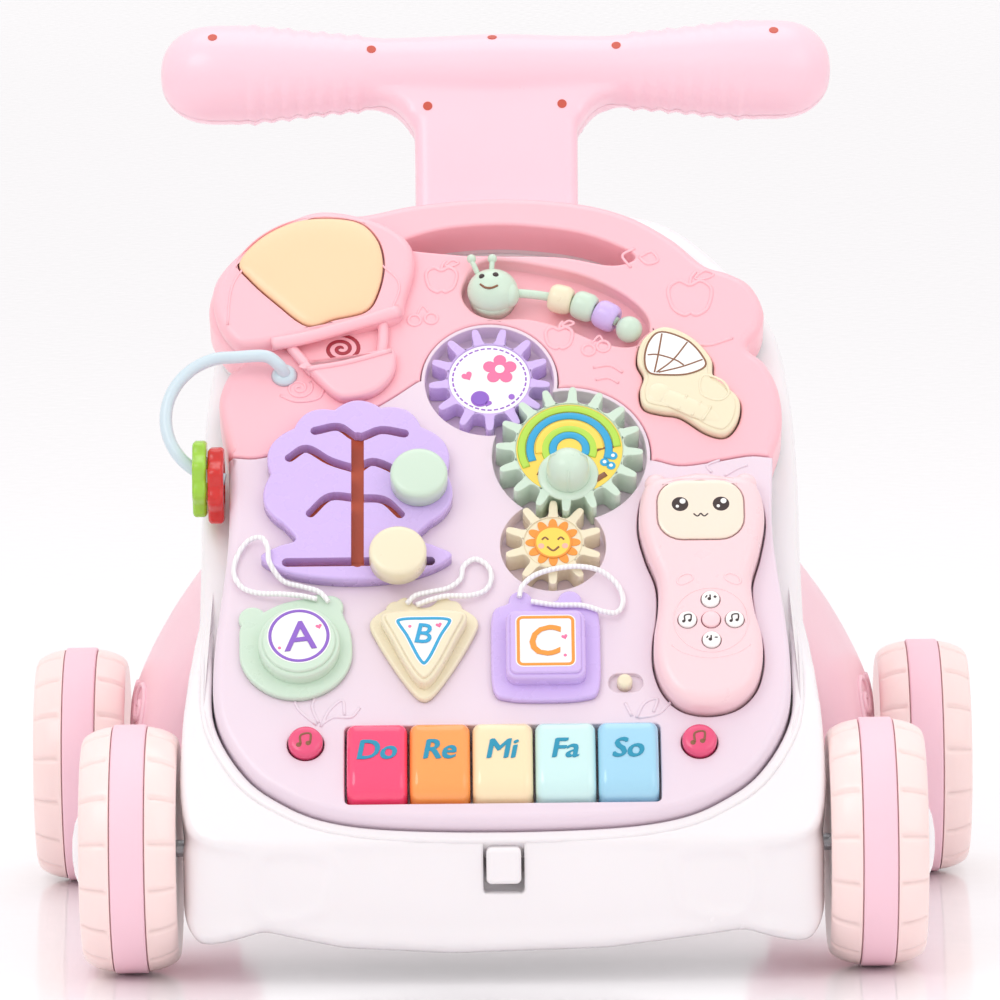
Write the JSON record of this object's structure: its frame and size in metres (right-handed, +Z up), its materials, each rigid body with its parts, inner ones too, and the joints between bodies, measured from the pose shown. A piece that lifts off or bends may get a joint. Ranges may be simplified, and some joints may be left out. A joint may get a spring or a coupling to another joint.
{
  "type": "baby walker",
  "caption": "Push-along baby walker with a bar handle, rolling wheels and a lift-off play panel of gears, beads, shape blocks, a toy phone and sprung music keys.",
  "frame": {"origin": "on the floor, midway between the front and rear axles and between the left and right wheels", "axes": "+X to the right when facing the play panel, +Y from the panel towards the walking child, +Z up"},
  "size_m": [0.464, 0.381, 0.4266],
  "materials": {
    "white_plastic": "moulded, soft gloss",
    "pink_plastic": "moulded, satin gloss",
    "salmon_plastic": "moulded, satin gloss",
    "lavender_plastic": "moulded, satin",
    "peach_plastic": "moulded, satin gloss",
    "tread_rubber": "soft band with fine cross lines",
    "lilac_plastic": "moulded, satin gloss",
    "mint_plastic": "moulded, satin gloss",
    "cream_plastic": "moulded, satin gloss",
    "hoop_plastic": "smooth tube",
    "lime_plastic": "translucent glossy",
    "red_plastic": "translucent glossy",
    "phone_plastic": "moulded, satin gloss",
    "pad_plastic": "moulded, satin",
    "rose_plastic": "glossy",
    "steel": "drawn rod",
    "string": "twisted white cord",
    "board": "printed board",
    "speaker_cone": "paper cone in a frame",
    "do_plastic": "high gloss",
    "re_plastic": "high gloss",
    "mi_plastic": "high gloss",
    "fa_plastic": "high gloss",
    "so_plastic": "high gloss"
  },
  "bodies": {
    "walker": {"front_shell": "white_plastic", "rear_shell": "white_plastic", "left_leg": "salmon_plastic", "right_leg": "salmon_plastic", "handle_front": "pink_plastic", "handle_back": "pink_plastic", "front_axle": "steel"},
    "latch": {"latch": "white_plastic"},
    "panel": {"lower_panel": "lavender_plastic", "upper_panel": "salmon_plastic", "panel_back": "white_plastic", "battery_door": "white_plastic", "circuit_board": "board", "speaker": "speaker_cone", "tree_plate": "lilac_plastic", "worm_head": "mint_plastic", "worm_tail": "mint_plastic", "bead_hoop": "hoop_plastic"},
    "front_left_wheel": {"front_left_wheel": "peach_plastic", "front_left_tread": "tread_rubber"},
    "front_right_wheel": {"front_right_wheel": "peach_plastic", "front_right_tread": "tread_rubber"},
    "rear_left_wheel": {"rear_left_wheel": "peach_plastic", "rear_left_tread": "tread_rubber"},
    "rear_right_wheel": {"rear_right_wheel": "peach_plastic", "rear_right_tread": "tread_rubber"},
    "mint_gear": {"mint_gear": "mint_plastic", "gear_knob": "mint_plastic"},
    "lilac_gear": {"lilac_gear": "lilac_plastic"},
    "sun_gear": {"sun_gear": "cream_plastic"},
    "mint_tree_knob": {"mint_tree_knob": "mint_plastic"},
    "cream_tree_knob": {"cream_tree_knob": "cream_plastic"},
    "cream_bead": {"cream_bead": "cream_plastic"},
    "mint_bead": {"mint_bead": "mint_plastic"},
    "lilac_bead": {"lilac_bead": "lilac_plastic"},
    "lime_ring": {"lime_ring": "lime_plastic"},
    "red_ring": {"red_ring": "red_plastic"},
    "balloon_button": {"balloon_button": "pad_plastic"},
    "butterfly_button": {"butterfly_button": "cream_plastic"},
    "left_round_button": {"left_round_button": "rose_plastic"},
    "right_round_button": {"right_round_button": "rose_plastic"},
    "volume_slider": {"volume_slider": "cream_plastic"},
    "circle_piece": {"circle_piece": "mint_plastic", "circle_string": "string"},
    "triangle_piece": {"triangle_piece": "cream_plastic", "triangle_string": "string"},
    "square_piece": {"square_piece": "lilac_plastic", "square_string": "string"},
    "phone": {"phone_shell": "phone_plastic", "phone_screen": "cream_plastic"},
    "phone_button_top": {"phone_button_top": "white_plastic"},
    "phone_button_bottom": {"phone_button_bottom": "white_plastic"},
    "phone_button_left": {"phone_button_left": "white_plastic"},
    "phone_button_right": {"phone_button_right": "white_plastic"},
    "phone_button_centre": {"phone_button_centre": "white_plastic"},
    "do_key": {"do_key": "do_plastic"},
    "re_key": {"re_key": "re_plastic"},
    "mi_key": {"mi_key": "mi_plastic"},
    "fa_key": {"fa_key": "fa_plastic"},
    "so_key": {"so_key": "so_plastic"}
  },
  "joints": [
    {"name": "front_left_wheel_spin", "type": "hinge", "parent": "walker", "child": "front_left_wheel", "pos_m": [-0.1735, -0.1325, 0.058], "axis": [1, 0, 0], "continuous": true},
    {"name": "front_right_wheel_spin", "type": "hinge", "parent": "walker", "child": "front_right_wheel", "pos_m": [0.1735, -0.1325, 0.058], "axis": [1, 0, 0], "continuous": true},
    {"name": "rear_left_wheel_spin", "type": "hinge", "parent": "walker", "child": "rear_left_wheel", "pos_m": [-0.2095, 0.1325, 0.058], "axis": [1, 0, 0], "continuous": true},
    {"name": "rear_right_wheel_spin", "type": "hinge", "parent": "walker", "child": "rear_right_wheel", "pos_m": [0.2095, 0.1325, 0.058], "axis": [1, 0, 0], "continuous": true},
    {"name": "panel_lift", "type": "slide", "parent": "walker", "child": "panel", "axis": [0, -0.7771, 0.6293], "range_m": [0, 0.06]},
    {"name": "latch_slide", "type": "slide", "parent": "walker", "child": "latch", "axis": [0, 0, -1], "range_m": [0, 0.004], "stiffness_N_per_m": 300, "springref_m": -0.001},
    {"name": "mint_gear_spin", "type": "hinge", "parent": "panel", "child": "mint_gear", "pos_m": [0.033, -0.06284, 0.23271], "axis": [0, -0.7771, 0.6293], "continuous": true},
    {"name": "lilac_gear_spin", "type": "hinge", "parent": "panel", "child": "lilac_gear", "pos_m": [-0.00447, -0.03618, 0.26563], "axis": [0, -0.7771, 0.6293], "continuous": true},
    {"name": "sun_gear_spin", "type": "hinge", "parent": "panel", "child": "sun_gear", "pos_m": [0.02468, -0.09431, 0.19384], "axis": [0, -0.7771, 0.6293], "continuous": true},
    {"name": "mint_tree_knob_slide", "type": "slide", "parent": "panel", "child": "mint_tree_knob", "axis": [-0.8575, 0.3238, 0.3998], "range_m": [0, 0.0225]},
    {"name": "cream_tree_knob_slide", "type": "slide", "parent": "panel", "child": "cream_tree_knob", "axis": [1, 0, 0], "range_m": [-0.044, 0.01]},
    {"name": "cream_bead_slide", "type": "hinge", "parent": "panel", "child": "cream_bead", "pos_m": [0.004, -0.06127, 0.23465], "axis": [0, -0.7771, 0.6293], "range_deg": [0, 8.5]},
    {"name": "mint_bead_slide", "type": "hinge", "parent": "panel", "child": "mint_bead", "pos_m": [0.004, -0.06127, 0.23465], "axis": [0, -0.7771, 0.6293], "range_deg": [0, 8.5]},
    {"name": "lilac_bead_slide", "type": "hinge", "parent": "panel", "child": "lilac_bead", "pos_m": [0.004, -0.06127, 0.23465], "axis": [0, -0.7771, 0.6293], "range_deg": [0, 8.5]},
    {"name": "lime_ring_swing", "type": "hinge", "parent": "panel", "child": "lime_ring", "pos_m": [-0.127, -0.05086, 0.25068], "axis": [0, -0.8988, 0.4384], "range_deg": [-100, 0]},
    {"name": "red_ring_swing", "type": "hinge", "parent": "panel", "child": "red_ring", "pos_m": [-0.127, -0.05086, 0.25068], "axis": [0, -0.8988, 0.4384], "range_deg": [-100, 0]},
    {"name": "balloon_press", "type": "slide", "parent": "panel", "child": "balloon_button", "axis": [0, 0.7771, -0.6293], "range_m": [0, 0.002], "stiffness_N_per_m": 250, "springref_m": -0.0008},
    {"name": "butterfly_press", "type": "slide", "parent": "panel", "child": "butterfly_button", "axis": [0, 0.7771, -0.6293], "range_m": [0, 0.0025], "stiffness_N_per_m": 250, "springref_m": -0.0008},
    {"name": "left_round_press", "type": "slide", "parent": "panel", "child": "left_round_button", "axis": [0, 0.7771, -0.6293], "range_m": [0, 0.002], "stiffness_N_per_m": 250, "springref_m": -0.0008},
    {"name": "right_round_press", "type": "slide", "parent": "panel", "child": "right_round_button", "axis": [0, 0.7771, -0.6293], "range_m": [0, 0.002], "stiffness_N_per_m": 250, "springref_m": -0.0008},
    {"name": "volume_slide", "type": "slide", "parent": "panel", "child": "volume_slider", "axis": [1, 0, 0], "range_m": [-0.0035, 0.0045]},
    {"name": "circle_piece_lift", "type": "slide", "parent": "panel", "child": "circle_piece", "axis": [0, -0.7771, 0.6293], "range_m": [0, 0.02]},
    {"name": "triangle_piece_lift", "type": "slide", "parent": "panel", "child": "triangle_piece", "axis": [0, -0.7771, 0.6293], "range_m": [0, 0.02]},
    {"name": "square_piece_lift", "type": "slide", "parent": "panel", "child": "square_piece", "axis": [0, -0.7771, 0.6293], "range_m": [0, 0.02]},
    {"name": "phone_lift", "type": "slide", "parent": "panel", "child": "phone", "axis": [0, -0.7771, 0.6293], "range_m": [0, 0.03]},
    {"name": "phone_top_press", "type": "slide", "parent": "phone", "child": "phone_button_top", "axis": [0, 0.7771, -0.6293], "range_m": [0, 0.0012], "stiffness_N_per_m": 250, "springref_m": -0.0008},
    {"name": "phone_bottom_press", "type": "slide", "parent": "phone", "child": "phone_button_bottom", "axis": [0, 0.7771, -0.6293], "range_m": [0, 0.0012], "stiffness_N_per_m": 250, "springref_m": -0.0008},
    {"name": "phone_left_press", "type": "slide", "parent": "phone", "child": "phone_button_left", "axis": [0, 0.7771, -0.6293], "range_m": [0, 0.0012], "stiffness_N_per_m": 250, "springref_m": -0.0008},
    {"name": "phone_right_press", "type": "slide", "parent": "phone", "child": "phone_button_right", "axis": [0, 0.7771, -0.6293], "range_m": [0, 0.0012], "stiffness_N_per_m": 250, "springref_m": -0.0008},
    {"name": "phone_centre_press", "type": "slide", "parent": "phone", "child": "phone_button_centre", "axis": [0, 0.7771, -0.6293], "range_m": [0, 0.0012], "stiffness_N_per_m": 250, "springref_m": -0.0008},
    {"name": "do_key_press", "type": "hinge", "parent": "panel", "child": "do_key", "pos_m": [-0.058, -0.15163, 0.11353], "axis": [1, 0, 0], "range_deg": [0, 3], "stiffness_Nm_per_rad": 0.5, "springref_deg": -1.72},
    {"name": "re_key_press", "type": "hinge", "parent": "panel", "child": "re_key", "pos_m": [-0.029, -0.15163, 0.11353], "axis": [1, 0, 0], "range_deg": [0, 3], "stiffness_Nm_per_rad": 0.5, "springref_deg": -1.72},
    {"name": "mi_key_press", "type": "hinge", "parent": "panel", "child": "mi_key", "pos_m": [0, -0.15163, 0.11353], "axis": [1, 0, 0], "range_deg": [0, 3], "stiffness_Nm_per_rad": 0.5, "springref_deg": -1.72},
    {"name": "fa_key_press", "type": "hinge", "parent": "panel", "child": "fa_key", "pos_m": [0.029, -0.15163, 0.11353], "axis": [1, 0, 0], "range_deg": [0, 3], "stiffness_Nm_per_rad": 0.5, "springref_deg": -1.72},
    {"name": "so_key_press", "type": "hinge", "parent": "panel", "child": "so_key", "pos_m": [0.058, -0.15163, 0.11353], "axis": [1, 0, 0], "range_deg": [0, 3], "stiffness_Nm_per_rad": 0.5, "springref_deg": -1.72}
  ],
  "couplings": [
    {"joint": "lilac_gear_spin", "follows": "mint_gear_spin", "ratio": -1.2308},
    {"joint": "sun_gear_spin", "follows": "mint_gear_spin", "ratio": -1.6},
    {"joint": "mint_bead_slide", "follows": "cream_bead_slide", "ratio": 1},
    {"joint": "lilac_bead_slide", "follows": "cream_bead_slide", "ratio": 1},
    {"joint": "lime_ring_swing", "follows": "red_ring_swing", "ratio": 1}
  ]
}
